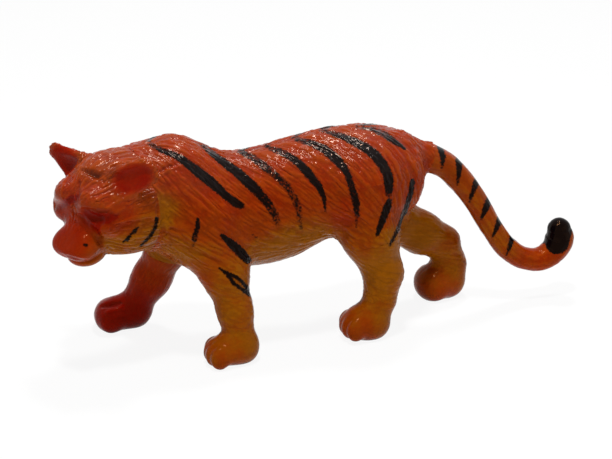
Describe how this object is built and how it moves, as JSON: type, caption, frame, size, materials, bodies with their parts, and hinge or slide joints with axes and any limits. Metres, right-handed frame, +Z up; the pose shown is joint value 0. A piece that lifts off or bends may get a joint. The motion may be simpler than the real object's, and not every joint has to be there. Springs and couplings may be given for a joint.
{
  "type": "toy tiger figure",
  "caption": "Soft-vinyl toy tiger in a walking pose: hollow trunk in half shells that hold the turning flanged plugs of head and tail, with glued legs.",
  "frame": {"origin": "middle of the outer box, on the surface that the figure stands on", "axes": "+Z up; the animal walks towards -X and its left side faces -Y"},
  "size_m": [0.1386, 0.038, 0.0552],
  "materials": {
    "trunk_vinyl": "orange-brown vinyl with black painted stripes, glossy",
    "head_vinyl": "orange-brown vinyl, glossy",
    "leg_vinyl": "golden-brown vinyl, glossy",
    "red_vinyl": "red-brown vinyl, glossy"
  },
  "bodies": {
    "trunk": {"torso_left_shell": "trunk_vinyl", "torso_right_shell": "trunk_vinyl", "foreleg_left": "leg_vinyl", "foreleg_right": "red_vinyl", "hindleg_left": "leg_vinyl", "hindleg_right": "leg_vinyl"},
    "head": {"head": "head_vinyl"},
    "tail": {"tail": "trunk_vinyl"}
  },
  "joints": [
    {"name": "head_turn", "type": "hinge", "parent": "trunk", "child": "head", "pos_m": [-0.04825, -0.00153, 0.0415], "axis": [-0.9646, -0.2585, -0.0523], "range_deg": [-45, 45]},
    {"name": "tail_turn", "type": "hinge", "parent": "trunk", "child": "tail", "pos_m": [0.02735, -0.00053, 0.0431], "axis": [0.9526, 0, -0.3042], "range_deg": [-90, 90]}
  ]
}
